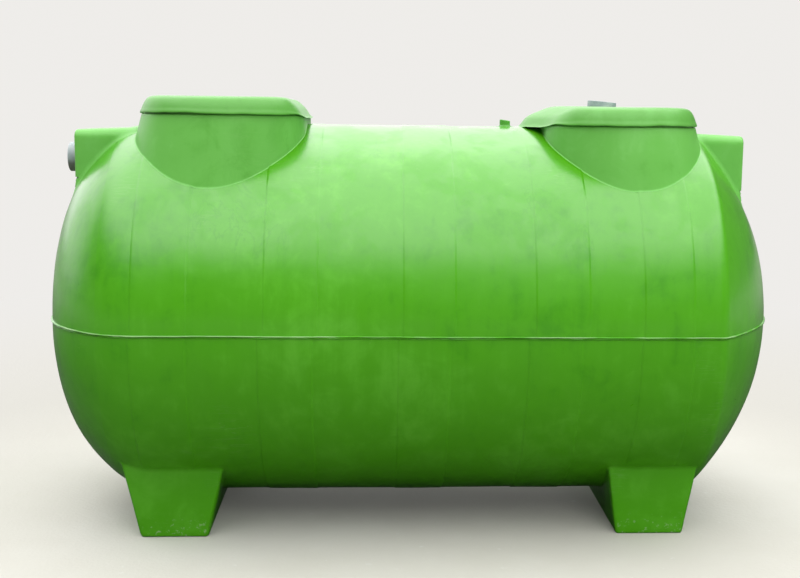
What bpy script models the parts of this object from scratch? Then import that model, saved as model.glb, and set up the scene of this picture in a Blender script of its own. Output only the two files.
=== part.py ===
"""Composite septic tank: a lying barrel of two bonded half shells with domed ends.

The upper half carries two oblong manhole risers with lift-off covers and a pipe hood at
each end; the lower half carries two cross feet. Metres, +Z up, the tank lies along X, and
the origin is on the floor under the middle of the tank. Heights below are above the
barrel's axis, and pieces hang on one empty at that height.
"""

import math

import bmesh
import bpy
from mathutils import Matrix, Vector

# Barrel and ends
RADIUS = 0.700
AXIS_HEIGHT = 0.774
WALL = 0.010
HALF_BARREL = 1.035
DOME_DEPTH = 0.294
DOME_FULLNESS = 3.0
TURN_STEPS = 48
DOME_RINGS = 8

# Touching pieces are bonded, with this gap between their meshes
GAP = 0.0003
MERGE = 0.00001

# Raised bands round each half of the barrel, as (first, last) along X
UPPER_BANDS = ((-0.956, -0.765), (-0.519, -0.332), (-0.051, 0.132), (0.398, 0.589), (0.770, 0.949))
LOWER_BANDS = ((-0.964, -0.770), (-0.539, -0.349), (-0.067, 0.115), (0.375, 0.566), (0.764, 0.952))
BAND_RISE = 0.004
BAND_SLOPE = 0.012
PARTING_REACH = 0.2

# Bonded flange between the half shells
FLANGE_REACH = 0.008
FLANGE_THICK = 0.005

# Manhole risers: an oblong is a round drawn apart along Y
RISERS = {"left": -0.688, "right": 0.746}
OBLONG_HALF = 0.178
OBLONG_STEPS = 32
RISER_TOP = 0.724
RISER_TOP_RADIUS = 0.303
RISER_DRAFT = 0.10
RISER_FOOT = 0.400
SHAFT_SPAN = (0.200, 0.900)

# Covers: (end radius, height above the riser) from the inner crown, by the lip, to the outer crown
COVER_SKIN = (
    (0.150, 0.062),
    (0.260, 0.058),
    (0.288, 0.044),
    (0.288, 0.000),
    (0.312, 0.000),
    (0.312, 0.010),
    (0.304, 0.040),
    (0.292, 0.056),
    (0.265, 0.066),
    (0.150, 0.070),
)
COVER_RADIUS = 0.312
COVER_SLOPE_START = 0.62
COVER_SLOPE_DROP = 0.75

# Pipe hoods: how far their end faces stand from the middle of the tank
HOOD_ENDS = {"left": -1.237, "right": 1.242}
HOOD_HALF_WIDTH = 0.180
HOOD_TOP = 0.679
HOOD_LOW = 0.300

# Pipes
PIPE_RADIUS = 0.055
PIPE_WALL = 0.004
PIPE_STEPS = 32
PIPE_INNER_END = 1.070
PIPE_SPACE = (1.000, 1.400)
BORE_SPARE = 0.010
INLET_HEIGHT = 0.562
INLET_END = 1.300
OUTLET_HEIGHT = 0.542
OUTLET_SHORT = 0.002
VENT_X = 0.725
VENT_LOW = 0.738
VENT_TOP = 0.808
VENT_TILT = 5.0
VENT_SPACE = (0.700, 0.900)

# Small boss on the crown between the covers
BOSS_X = 0.353
BOSS_RADIUS = 0.020
BOSS_LOW = 0.650
BOSS_TOP = 0.7235

# Cross feet, as half widths at the floor and where the front face meets the barrel
FEET = {"left": -0.856, "right": 0.871}
SOLE_HALF_X = 0.123
SOLE_HALF_Y = 0.455
SHOULDER_HALF_X = 0.172
SHOULDER_HALF_Y = 0.473
SHOULDER_HEIGHT = -0.516
FOOT_TOP = -0.450

SIDES = {"left": -1, "right": 1}
GREEN = {"colour": (0.115, 0.420, 0.030, 1.0), "roughness": 0.35, "metallic": 0.0}
GREY = {"colour": (0.330, 0.390, 0.390, 1.0), "roughness": 0.5, "metallic": 0.0}


def clear_scene():
    for old in list(bpy.data.objects):
        bpy.data.objects.remove(old)


def new_collection(name):
    made = bpy.data.collections.new(name)
    bpy.context.scene.collection.children.link(made)
    return made


class Workshop:
    """Makes the tank's pieces and cutters on the empty at the barrel's axis."""

    def __init__(self):
        self.pieces = new_collection("composite_septic_tank")
        self.tools = new_collection("cutters")
        self.axis = bpy.data.objects.new("barrel_axis", None)
        self.axis.location.z = AXIS_HEIGHT
        self.pieces.objects.link(self.axis)

    def place(self, name, mesh, is_cutter):
        made = bpy.data.objects.new(name, mesh)
        made.parent = self.axis
        (self.tools if is_cutter else self.pieces).objects.link(made)
        if is_cutter:
            made.hide_render = True
            made.display_type = "WIRE"
        return made

    def solid(self, name, bm, is_cutter=False):
        """Places a closed bmesh, with its faces turned outwards."""
        bmesh.ops.recalc_face_normals(bm, faces=bm.faces)
        mesh = bpy.data.meshes.new(name)
        bm.to_mesh(mesh)
        bm.free()
        return self.place(name, mesh, is_cutter)

    def box(self, name, low, high, is_cutter=False):
        low, high = Vector(low), Vector(high)
        bm = bmesh.new()
        place = Matrix.Translation((low + high) / 2) @ Matrix.Diagonal((*(high - low), 1.0))
        bmesh.ops.create_cube(bm, size=1.0, matrix=place)
        return self.solid(name, bm, is_cutter)

    def bar(self, name, radius, start, end, is_cutter=False):
        """A round bar from start to end."""
        start, end = Vector(start), Vector(end)
        turn = (end - start).to_track_quat("Z", "Y").to_matrix().to_4x4()
        bm = bmesh.new()
        bmesh.ops.create_cone(
            bm,
            cap_ends=True,
            segments=PIPE_STEPS,
            radius1=radius,
            radius2=radius,
            depth=(end - start).length,
            matrix=Matrix.Translation((start + end) / 2) @ turn,
        )
        return self.solid(name, bm, is_cutter)

    def turned(self, name, profile, closed, is_cutter=False):
        """Turns (x, radius) points about the barrel's axis. The outer side runs towards -X."""
        count = len(profile)
        mesh = bpy.data.meshes.new(name)
        edges = [(index, (index + 1) % count) for index in range(count if closed else count - 1)]
        mesh.from_pydata([(radius, 0, x) for x, radius in profile], edges, [])
        made = self.place(name, mesh, is_cutter)
        made.rotation_euler.y = math.pi / 2
        turn = made.modifiers.new("Turn about the axis", "SCREW")
        turn.axis = "Z"
        turn.angle = 2 * math.pi
        turn.steps = turn.render_steps = TURN_STEPS
        turn.use_merge_vertices = True
        turn.merge_threshold = MERGE
        return made

    def oblong(self, name, levels, centre_x, is_cutter=False):
        """Stacks tapering rounds through (end radius, height) levels, and draws them apart."""
        bm = bmesh.new()
        for (radius, low), (next_radius, high) in zip(levels, levels[1:]):
            half_step = Matrix.Rotation(math.pi / OBLONG_STEPS, 4, "Z")
            bmesh.ops.create_cone(
                bm,
                segments=OBLONG_STEPS,
                radius1=radius,
                radius2=next_radius,
                depth=high - low,
                matrix=Matrix.Translation((0, 0, (low + high) / 2)) @ half_step,
            )
        bmesh.ops.remove_doubles(bm, verts=bm.verts, dist=MERGE)
        bmesh.ops.holes_fill(bm, edges=bm.edges)
        for vert in bm.verts:
            vert.co.y += math.copysign(OBLONG_HALF, vert.co.y)
        bmesh.ops.translate(bm, vec=(centre_x, 0, 0), verts=bm.verts)
        return self.solid(name, bm, is_cutter)


def finish(piece, look):
    """Gives a piece its own material and smooth shading on its round faces."""
    made = bpy.data.materials.new(piece.name + "_finish")
    made.use_nodes = True
    shader = made.node_tree.nodes["Principled BSDF"]
    shader.inputs["Base Color"].default_value = look["colour"]
    shader.inputs["Roughness"].default_value = look["roughness"]
    shader.inputs["Metallic"].default_value = look["metallic"]
    piece.data.materials.append(made)
    piece.data.shade_smooth()
    piece.data.set_sharp_from_angle(angle=math.radians(30))


def cut(piece, *cutters):
    for cutter in cutters:
        step = piece.modifiers.new("Cut by " + cutter.name, "BOOLEAN")
        step.operation = "DIFFERENCE"
        step.solver = "EXACT"
        step.object = cutter
    return piece


def dome(radius, depth, start):
    """(x, radius) points of a domed end, from its pole to its edge at start."""
    shares = [step / DOME_RINGS for step in range(DOME_RINGS + 1)]
    return [(start + depth * (1 - share**DOME_FULLNESS), radius * share) for share in shares]


def mirrored(profile):
    """The same profile for the -X end, still running towards -X on its outer side."""
    return [(-x, radius) for x, radius in reversed(profile)]


def band_bumps(bands, clearance):
    """(x, radius) points over the raised bands, from +X to -X."""
    points = []
    for first, last in reversed(bands):
        low, high = RADIUS + GAP, RADIUS + BAND_RISE + clearance
        points.append((last + clearance, low))
        points.append((last + clearance - BAND_SLOPE, high))
        points.append((first - clearance + BAND_SLOPE, high))
        points.append((first - clearance, low))
    return points


def riser_radius(height):
    return RISER_TOP_RADIUS + RISER_DRAFT * (RISER_TOP - height)


def riser_levels(offset, low, high):
    return [(riser_radius(height) + offset, height) for height in (low, high)]


def make_cutters(shop):
    """Everything that trims the pieces, by name."""
    reach, far = 2.0, 1.0
    edge = FLANGE_THICK + GAP
    spaces = {
        "above_joint": ((-reach, -far, -GAP / 2), (reach, far, far)),
        "below_joint": ((-reach, -far, -far), (reach, far, GAP / 2)),
        "above_flange": ((-reach, -far, -edge), (reach, far, far)),
        "below_flange": ((-reach, -far, -far), (reach, far, edge)),
        "front_space": ((-reach, -far, -far), (reach, 0, far)),
        "back_space": ((-reach, 0, -far), (reach, far, far)),
    }
    tools = {name: shop.box(name, *corners, True) for name, corners in spaces.items()}
    skin = dome(RADIUS + GAP, DOME_DEPTH + GAP, HALF_BARREL + GAP)
    tools["skin"] = shop.turned("tank_skin", skin + mirrored(skin), False, True)
    banded = skin + band_bumps(LOWER_BANDS, GAP) + mirrored(skin)
    tools["banded_skin"] = shop.turned("banded_skin", banded, False, True)
    for side, x in RISERS.items():
        shaft = riser_levels(-WALL, *SHAFT_SPAN)
        around = riser_levels(GAP, *SHAFT_SPAN)
        tools["shaft_" + side] = shop.oblong("shaft_" + side, shaft, x, True)
        tools["riser_" + side] = shop.oblong("riser_space_" + side, around, x, True)
    for side, height in (("left", INLET_HEIGHT), ("right", OUTLET_HEIGHT)):
        start, end = [(SIDES[side] * x, 0, height) for x in PIPE_SPACE]
        tools["pipe_" + side] = shop.bar("pipe_space_" + side, PIPE_RADIUS + GAP, start, end, True)
    tools["vent"] = shop.bar("vent_space", PIPE_RADIUS + GAP, *vent_ends(*VENT_SPACE), True)
    return tools


def make_barrel(shop, tools):
    outer, inner = RADIUS, RADIUS - WALL
    profile = [(HALF_BARREL, outer), (-HALF_BARREL, outer), (-HALF_BARREL, inner), (HALF_BARREL, inner)]
    upper = shop.turned("upper_barrel", profile, True)
    finish(cut(upper, tools["below_joint"], tools["shaft_left"], tools["shaft_right"]), GREEN)
    lower = shop.turned("lower_barrel", profile, True)
    finish(cut(lower, tools["above_joint"]), GREEN)


def make_ends(shop, tools):
    """Four half domes. The upper ones have a hole for their pipe."""
    start = HALF_BARREL + GAP
    profile = dome(RADIUS, DOME_DEPTH, start) + dome(RADIUS - WALL, DOME_DEPTH - WALL, start)[::-1]
    for side, sign in SIDES.items():
        shape = profile if sign > 0 else [(-x, radius) for x, radius in profile][::-1]
        upper = shop.turned(side + "_end_upper", shape, False)
        finish(cut(upper, tools["below_joint"], tools["pipe_" + side]), GREEN)
        lower = shop.turned(side + "_end_lower", shape, False)
        finish(cut(lower, tools["above_joint"]), GREEN)


def tank_plan(reach):
    """Plan of the tank at its joint, that much larger all round."""
    shares = [step / DOME_RINGS - 1 for step in range(2 * DOME_RINGS + 1)]
    right = [
        (HALF_BARREL + (DOME_DEPTH + reach) * (1 - abs(share) ** DOME_FULLNESS), share * (RADIUS + reach))
        for share in shares
    ]
    return right + [(-x, -y) for x, y in right]


def make_flanges(shop, tools):
    """The two lips of the joint, one on each half shell."""
    for name, low, high in (
        ("upper_flange", GAP / 2, FLANGE_THICK),
        ("lower_flange", -FLANGE_THICK, -GAP / 2),
    ):
        bm = bmesh.new()
        face = bm.faces.new([bm.verts.new((x, y, low)) for x, y in tank_plan(FLANGE_REACH)])
        made = bmesh.ops.extrude_face_region(bm, geom=[face], use_keep_orig=True)
        top = [part for part in made["geom"] if isinstance(part, bmesh.types.BMVert)]
        bmesh.ops.translate(bm, vec=(0, 0, high - low), verts=top)
        finish(cut(shop.solid(name, bm), tools["skin"]), GREEN)


def make_lower_bands(shop, tools):
    for number, band in enumerate(LOWER_BANDS, start=1):
        piece = shop.turned(f"lower_band_{number}", band_bumps([band], 0), True)
        finish(cut(piece, tools["above_flange"]), GREEN)


def make_upper_bands(shop, tools):
    """Raised bands. A riser that stands all across a band parts it into front and back."""
    trims = [tools["below_flange"], tools["riser_left"], tools["riser_right"]]
    for number, (first, last) in enumerate(UPPER_BANDS, start=1):
        profile = band_bumps([(first, last)], 0)
        name = f"upper_band_{number}"
        nearest = min(abs((first + last) / 2 - x) for x in RISERS.values())
        if nearest < PARTING_REACH:
            front = shop.turned(name + "_front", profile, True)
            finish(cut(front, *trims, tools["back_space"]), GREEN)
            back = shop.turned(name + "_back", profile, True)
            finish(cut(back, *trims, tools["front_space"]), GREEN)
        else:
            finish(cut(shop.turned(name, profile, True), *trims), GREEN)


def make_risers(shop, tools):
    for side, x in RISERS.items():
        outer = riser_levels(0, RISER_FOOT, RISER_TOP)
        inner = riser_levels(-WALL, RISER_FOOT, RISER_TOP)
        levels = [*outer, *reversed(inner), outer[0]]
        finish(cut(shop.oblong(side + "_riser", levels, x), tools["skin"]), GREEN)


def make_covers(shop, tools):
    """Lift-off covers, which fall away towards the middle of the tank."""
    for side, centre in RISERS.items():
        levels = [(radius, RISER_TOP + GAP + height) for radius, height in COVER_SKIN]
        cover = shop.oblong(side + "_cover", levels, centre)
        for vert in cover.data.vertices:
            inward = (centre - vert.co.x) * SIDES[side] / COVER_RADIUS
            share = max(0.0, inward - COVER_SLOPE_START) / (1 - COVER_SLOPE_START)
            above = vert.co.z - RISER_TOP - GAP
            vert.co.z -= above * COVER_SLOPE_DROP * share
        if side == "right":
            cut(cover, tools["vent"])
        finish(cover, GREEN)


def make_hoods(shop, tools):
    """Hollow pipe housings that stand out of the domed ends."""
    for side, end in HOOD_ENDS.items():
        sign = SIDES[side]
        xs = sorted((sign * HALF_BARREL, end))
        hollow = sorted((sign * (HALF_BARREL + WALL), end - sign * WALL))
        hood = shop.box(
            side + "_hood",
            (xs[0], -HOOD_HALF_WIDTH, HOOD_LOW),
            (xs[1], HOOD_HALF_WIDTH, HOOD_TOP),
        )
        inside = shop.box(
            "hollow_of_hood_" + side,
            (hollow[0], -HOOD_HALF_WIDTH + WALL, 0),
            (hollow[1], HOOD_HALF_WIDTH - WALL, HOOD_TOP - WALL),
            True,
        )
        spaces = [tools[space + side] for space in ("pipe_", "riser_")]
        finish(cut(hood, inside, tools["skin"], *spaces), GREEN)


def make_tube(shop, name, start, end):
    """A grey pipe, open at both ends."""
    start, end = Vector(start), Vector(end)
    beyond = (end - start).normalized() * BORE_SPARE
    bore = shop.bar("bore_of_" + name, PIPE_RADIUS - PIPE_WALL, start - beyond, end + beyond, True)
    finish(cut(shop.bar(name, PIPE_RADIUS, start, end), bore), GREY)


def vent_ends(low, high):
    """Two points on the leaning vent's axis."""
    lean = math.tan(math.radians(VENT_TILT))
    return [(VENT_X + lean * (height - VENT_TOP), 0, height) for height in (low, high)]


def make_pipes(shop):
    make_tube(shop, "inlet_pipe", (-INLET_END, 0, INLET_HEIGHT), (-PIPE_INNER_END, 0, INLET_HEIGHT))
    outlet_end = HOOD_ENDS["right"] - OUTLET_SHORT
    make_tube(shop, "outlet_pipe", (PIPE_INNER_END, 0, OUTLET_HEIGHT), (outlet_end, 0, OUTLET_HEIGHT))
    make_tube(shop, "vent_pipe", *vent_ends(VENT_LOW, VENT_TOP))


def make_boss(shop, tools):
    boss = shop.bar("crown_boss", BOSS_RADIUS, (BOSS_X, 0, BOSS_LOW), (BOSS_X, 0, BOSS_TOP))
    finish(cut(boss, tools["skin"]), GREEN)


def foot_half(height, at_sole, at_shoulder):
    """Half width of a foot at a height, on the straight line from sole to shoulder."""
    share = (height + AXIS_HEIGHT) / (SHOULDER_HEIGHT + AXIS_HEIGHT)
    return at_sole + (at_shoulder - at_sole) * share


def make_feet(shop, tools):
    """Tapering blocks that cross under the barrel and are hollowed to its shape."""
    for side, centre in FEET.items():
        foot = shop.box(side + "_foot", (-1, -1, -AXIS_HEIGHT), (1, 1, FOOT_TOP))
        for vert in foot.data.vertices:
            vert.co.x = centre + vert.co.x * foot_half(vert.co.z, SOLE_HALF_X, SHOULDER_HALF_X)
            vert.co.y *= foot_half(vert.co.z, SOLE_HALF_Y, SHOULDER_HALF_Y)
        finish(cut(foot, tools["banded_skin"]), GREEN)


def main():
    clear_scene()
    shop = Workshop()
    tools = make_cutters(shop)
    make_barrel(shop, tools)
    make_ends(shop, tools)
    make_flanges(shop, tools)
    make_upper_bands(shop, tools)
    make_lower_bands(shop, tools)
    make_risers(shop, tools)
    make_covers(shop, tools)
    make_hoods(shop, tools)
    make_pipes(shop)
    make_boss(shop, tools)
    make_feet(shop, tools)


main()
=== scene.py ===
"""Looks of the composite septic tank: gelcoated fibreglass shells, grey pipes and a pale studio.

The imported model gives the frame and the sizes. Every piece here is modelled afresh with the
softness of hand-laid fibreglass: drawn fillets, pressed bands, wavy skins and worn lips.
Points are worked out above the barrel's axis, and a piece's mesh is lifted to the floor's
frame when it is made. The front is -Y and the inlet end is -X.
"""

import logging
import math
from dataclasses import dataclass, field
from enum import Enum

import bmesh
import bpy
import numpy as np
from mathutils import Matrix, Vector


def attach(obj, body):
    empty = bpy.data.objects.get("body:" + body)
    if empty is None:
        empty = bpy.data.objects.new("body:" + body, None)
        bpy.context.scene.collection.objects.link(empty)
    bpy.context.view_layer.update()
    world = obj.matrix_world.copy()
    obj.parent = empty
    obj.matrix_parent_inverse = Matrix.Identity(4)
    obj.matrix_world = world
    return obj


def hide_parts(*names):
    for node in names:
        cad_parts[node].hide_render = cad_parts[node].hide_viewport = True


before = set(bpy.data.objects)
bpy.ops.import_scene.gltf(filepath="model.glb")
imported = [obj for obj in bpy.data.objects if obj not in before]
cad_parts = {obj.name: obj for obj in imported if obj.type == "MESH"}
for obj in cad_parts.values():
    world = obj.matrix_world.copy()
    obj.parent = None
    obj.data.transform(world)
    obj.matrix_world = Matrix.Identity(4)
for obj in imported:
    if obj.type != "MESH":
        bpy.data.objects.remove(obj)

Array = np.ndarray
Colour = tuple[float, float, float]
Pair = tuple[float, float]

AXIS_HEIGHT = 0.774
GREEN_SLOT = "green_gelcoat"
GREY_SLOT = "grey_pipe"

log = logging.getLogger("septic_tank")


class Side(Enum):
    """The two ends of the tank, with the sign of their X."""

    LEFT = -1
    RIGHT = 1

    @property
    def word(self) -> str:
        """The end's name as the CAD nodes spell it."""
        return self.name.lower()


class Half(Enum):
    """The two half shells, with the sign of their height above the axis."""

    UPPER = 1
    LOWER = -1

    @property
    def word(self) -> str:
        """The half's name as the CAD nodes spell it."""
        return self.name.lower()


# Shapes


def smooth_step(share: Array) -> Array:
    """Eases from 0 to 1 where the share passes from 0 to 1."""
    held = np.clip(share, 0.0, 1.0)
    return held * held * (3.0 - 2.0 * held)


def smooth_least(first: Array, second: Array, reach: float) -> Array:
    """The lesser of two distances, rounded where they are within reach of each other."""
    share = np.clip(0.5 + 0.5 * (second - first) / reach, 0.0, 1.0)
    return second + (first - second) * share - reach * share * (1.0 - share)


def unit(vectors: Array) -> Array:
    """The vectors at length 1, and zero where they have none."""
    length = np.linalg.norm(vectors, axis=-1, keepdims=True)
    return vectors / np.maximum(length, 1e-9)


@dataclass(frozen=True)
class TankSkin:
    """The outer surface of the barrel and its two domed ends, as a distance in space.

    A dome stands out by depth * (1 - share ** fullness) past its crease, with the share of
    the barrel's radius. The left crease is drawn out soft, the right one is nearly sharp,
    and the two domes differ a little, as on the real tank. Each is given as its crease's
    place, its depth and its fullness.
    """

    radius: float = 0.700
    left_dome: tuple[float, float, float] = (1.022, 0.290, 3.60)
    right_dome: tuple[float, float, float] = (1.055, 0.299, 2.32)
    left_crease: float = 0.050
    right_crease: float = 0.014
    band_rise: float = 0.0020
    band_slope: float = 0.009
    upper_bands: tuple[Pair, ...] = (
        (-0.956, -0.765),
        (-0.519, -0.332),
        (-0.051, 0.132),
        (0.398, 0.589),
        (0.770, 0.949),
    )
    lower_bands: tuple[Pair, ...] = (
        (-0.964, -0.770),
        (-0.539, -0.349),
        (-0.067, 0.115),
        (0.375, 0.566),
        (0.764, 0.952),
    )

    def dome(self, side: Side) -> tuple[float, float, float]:
        """Crease, depth and fullness of one dome."""
        return self.left_dome if side is Side.LEFT else self.right_dome

    def bands(self, half: Half) -> tuple[Pair, ...]:
        """The raised bands of one half shell, as (first, last) along X."""
        return self.upper_bands if half is Half.UPPER else self.lower_bands

    def band_height(self, points: Array) -> Array:
        """How far the pressed bands stand out at these points."""
        x, z = points[..., 0], points[..., 2]
        heights = []
        for half in (Half.UPPER, Half.LOWER):
            height = np.zeros_like(x)
            for first, last in self.bands(half):
                rise = smooth_step((x - first) / self.band_slope)
                fall = smooth_step((last - x) / self.band_slope)
                height = np.maximum(height, self.band_rise * rise * fall)
            heights.append(height)
        return np.where(z >= 0.0, heights[0], heights[1])

    def waves(self, points: Array) -> Array:
        """The slow unevenness of a hand-laid skin, a millimetre or two."""
        x, y, z = np.moveaxis(points, -1, 0)
        turn = np.arctan2(z, -y)
        slow = np.sin(3.1 * x + 1.7 * turn + 0.6) * np.sin(2.3 * turn + 1.1)
        middle = np.sin(8.3 * x - 2.9 * turn + 2.0) * np.sin(5.1 * turn - 0.4)
        quick = np.sin(17.0 * x + 6.1 * turn) * np.sin(9.7 * turn + 3.0 * x)
        return 0.0012 * slow + 0.0007 * middle + 0.0003 * quick

    def distance(self, points: Array, banded: bool = True) -> Array:
        """Signed distance to the skin, positive outside.

        Args:
            points: Places above the axis, with X, Y and Z last.
            banded: Whether the pressed bands are part of the skin.

        Returns:
            One distance in metres for each point.
        """
        x, y, z = np.moveaxis(points, -1, 0)
        round_out = np.hypot(y, z)
        barrel = round_out - self.radius - self.waves(points)
        if banded:
            barrel = barrel - self.band_height(points)
        share = round_out / self.radius
        ends = []
        for side, crease in ((Side.LEFT, self.left_crease), (Side.RIGHT, self.right_crease)):
            start, depth, fullness = self.dome(side)
            slope = fullness * depth * share ** (fullness - 1.0) / self.radius
            reach = start + depth * (1.0 - share ** fullness)
            dome = (np.abs(x) - reach - self.waves(points)) / np.sqrt(1.0 + slope * slope)
            ends.append(-smooth_least(-barrel, -dome, crease))
        return np.where(x < 0.0, ends[0], ends[1])

    def normals(self, points: Array, banded: bool = True) -> Array:
        """Outward directions at these points."""
        step = 0.0008
        parts = []
        for axis in range(3):
            shift = np.zeros(3)
            shift[axis] = step
            ahead = self.distance(points + shift, banded)
            behind = self.distance(points - shift, banded)
            parts.append(ahead - behind)
        return unit(np.stack(parts, -1))

    def settle(self, points: Array, ways: Array, banded: bool = True, lift: float = 0.0) -> Array:
        """Slides points along their own ways until they lie on the skin.

        Args:
            points: Where they start.
            ways: Unit directions that lead outwards.
            banded: Whether the pressed bands are part of the skin.
            lift: How far above the skin they end.

        Returns:
            The settled points.
        """
        settled = np.array(points, float)
        for _ in range(24):
            settled -= ways * (self.distance(settled, banded) - lift)[..., None]
        return settled

    def dome_points(self, side: Side, shares: Array, turns: Array) -> tuple[Array, Array]:
        """Points on a plain dome and the ways in which they settle on the skin.

        Args:
            side: Which end of the tank.
            shares: Radii as shares of the barrel's, along the first axis.
            turns: Angles up from the front, along the second axis.

        Returns:
            The points and their unit directions, both [shares, turns, 3].
        """
        share, turn = np.meshgrid(shares, turns, indexing="ij")
        out = np.stack([np.zeros_like(turn), -np.cos(turn), np.sin(turn)], -1)
        start, depth, fullness = self.dome(side)
        points = out * (self.radius * share)[..., None]
        points[..., 0] = side.value * (start + depth * (1.0 - share ** fullness))
        slope = fullness * depth * share ** (fullness - 1.0) / self.radius
        true = out * slope[..., None]
        true[..., 0] = side.value
        free = smooth_step((shares[0] - share) / 0.12)[..., None]
        return points, unit(unit(true) * free + out * (1.0 - free))


@dataclass(frozen=True)
class Outline:
    """A rounded rectangle about its middle, walked once round.

    Its corner radius may be as large as half a side, which makes an oblong or a circle.
    """

    half_a: float
    half_b: float
    corner: float
    corner_steps: int = 12
    side_steps: int = 8

    def ring(self) -> tuple[Array, Array]:
        """Corner centres and outward normals round the outline, with the first point repeated."""
        cores: list[Pair] = []
        normals: list[Pair] = []
        flat_a = self.half_a - self.corner
        flat_b = self.half_b - self.corner
        corners = ((1, 1), (-1, 1), (-1, -1), (1, -1))
        for index, (sign_a, sign_b) in enumerate(corners):
            start = index * math.pi / 2.0
            for step in range(self.corner_steps + 1):
                angle = start + step / self.corner_steps * math.pi / 2.0
                cores.append((sign_a * flat_a, sign_b * flat_b))
                normals.append((math.cos(angle), math.sin(angle)))
            next_a, next_b = corners[(index + 1) % 4]
            run = 2.0 * (flat_a if next_a != sign_a else flat_b)
            angle = start + math.pi / 2.0
            for step in range(1, self.side_steps if run > 1e-6 else 1):
                share = step / self.side_steps
                cores.append((
                    (sign_a + (next_a - sign_a) * share) * flat_a,
                    (sign_b + (next_b - sign_b) * share) * flat_b,
                ))
                normals.append((math.cos(angle), math.sin(angle)))
        cores.append(cores[0])
        normals.append(normals[0])
        return np.array(cores), np.array(normals)


@dataclass(frozen=True)
class Station:
    """One stop on the way over a moulding, from the middle of its cap down its wall."""

    share: float
    offset: float
    height: float
    spread: Pair = (0.0, 0.0)
    shift: float = 0.0


class Heading(Enum):
    """Which way a moulding stands out: rows give its two sides and its height as X, Y, Z."""

    UP = ((1, 0, 0), (0, 1, 0), (0, 0, 1))
    DOWN = ((1, 0, 0), (0, -1, 0), (0, 0, -1))
    LEFT = ((0, 1, 0), (0, 0, 1), (-1, 0, 0))
    RIGHT = ((0, -1, 0), (0, 0, 1), (1, 0, 0))


@dataclass(frozen=True)
class Moulding:
    """A form that grows out of the tank's skin with a drawn fillet at its root.

    Its surface is a path of stations walked round an outline. Where the path enters the
    skin, its rows are slid outwards, halfway between the form's normal and the skin's, onto
    the rounded union of the two, and past the fillet they lie on the skin.
    """

    outline: Outline
    heading: Heading
    middle: tuple[float, float, float]
    fillet: float
    free_rows: int = 60
    root_rows: int = 26
    ripple: float = 0.0
    hole: Pair | None = None

    def path(self, stations: list[Station]) -> Array:
        """Places of the stations round the outline, [stations, ring, 3]."""
        cores, normals = self.outline.ring()
        share = np.array([stop.share for stop in stations])[:, None, None]
        offset = np.array([stop.offset for stop in stations])[:, None, None]
        spread = np.array([stop.spread for stop in stations])[:, None, :]
        height = np.array([stop.height for stop in stations])[:, None]
        shift = np.array([stop.shift for stop in stations])[:, None, None]
        turn = np.arctan2(normals[:, 1], normals[:, 0])[None, :]
        uneven = np.sin(3.0 * turn + 9.0 * height) * np.sin(2.0 * turn - 14.0 * height + 1.0)
        offset = offset + self.ripple * uneven[..., None] * smooth_step(share * 4.0 - 3.0)
        plan = cores * (1.0 + spread) + normals * (self.outline.corner + offset)
        plan = plan * share + self.hole_ring(cores + normals * self.outline.corner) * (1.0 - share)
        side_a, side_b, out = (np.array(way, float) for way in self.heading.value)
        return (
            np.array(self.middle)
            + (plan[..., :1] + shift) * side_a
            + plan[..., 1:] * side_b
            + (height[..., None] + np.zeros_like(plan[..., :1])) * out
        )

    def hole_ring(self, ring: Array) -> Array:
        """Where stations of share 0 lie: round the hole, or else at the middle.

        A hole is given as (place along the second side, radius).
        """
        if self.hole is None:
            return np.zeros_like(ring)
        centre = np.array([0.0, self.hole[0]])
        return centre + self.hole[1] * unit(ring - centre)

    def grow(self, skin: TankSkin, stations: list[Station]) -> Array:
        """Rows of the finished form, from its first station to its skirt on the skin.

        Args:
            skin: The skin that it grows out of.
            stations: Its path, which has to end well inside the skin.

        Returns:
            Points [rows, ring, 3].
        """
        fine = self.path(stations)
        depth = skin.distance(fine)
        count = fine.shape[1]
        margin = self.fillet * 1.08
        marks = np.array([
            [first_crossing(depth[:, column], level) for column in range(count)]
            for level in (margin, 0.0, -margin)
        ])
        free = np.linspace(0.0, 1.0, self.free_rows, endpoint=False)[:, None] * marks[0]
        root = np.linspace(0.0, 1.0, self.root_rows)[:, None]
        upper = marks[0] + (marks[1] - marks[0]) * np.minimum(root * 2.0, 1.0)
        rows = np.concatenate([free, upper + (marks[2] - marks[1]) * np.maximum(root * 2.0 - 1.0, 0.0)])
        start = along_path(fine, rows)
        own = form_normals(fine, rows, np.array(self.heading.value[2], float))
        body = skin.normals(start)
        way = unit(own + body)
        near, far = np.zeros(rows.shape), np.full(rows.shape, 0.2)
        for _ in range(26):
            tried = (near + far) / 2.0
            moved = start + way * tried[..., None]
            from_form = np.sum((moved - start) * own, -1)
            gap = smooth_least(from_form, skin.distance(moved) - 0.0004, self.fillet)
            near = np.where(gap < 0.0, tried, near)
            far = np.where(gap < 0.0, far, tried)
        peaks = np.argmax(depth, axis=0)[None, :]
        slid = np.where((near > 1e-6) & (rows > peaks), near, 0.0)
        return start + way * slid[..., None]


def first_crossing(values: Array, level: float) -> float:
    """Where values that have passed their peak fall below a level, as a fractional index."""
    peak = int(np.argmax(values))
    below = np.nonzero(values[peak:] < level)[0]
    if len(below) == 0:
        return len(values) - 1.0
    index = peak + below[0]
    if below[0] == 0:
        return float(peak)
    before, after = values[index - 1], values[index]
    return index - 1.0 + (before - level) / (before - after)


def along_path(path: Array, rows: Array) -> Array:
    """Points of a path [stations, ring, 3] at fractional rows [rows, ring]."""
    low = np.clip(np.floor(rows).astype(int), 0, path.shape[0] - 2)
    share = (rows - low)[..., None]
    ring = np.arange(path.shape[1])[None, :]
    return path[low, ring] * (1.0 - share) + path[low + 1, ring] * share


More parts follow.
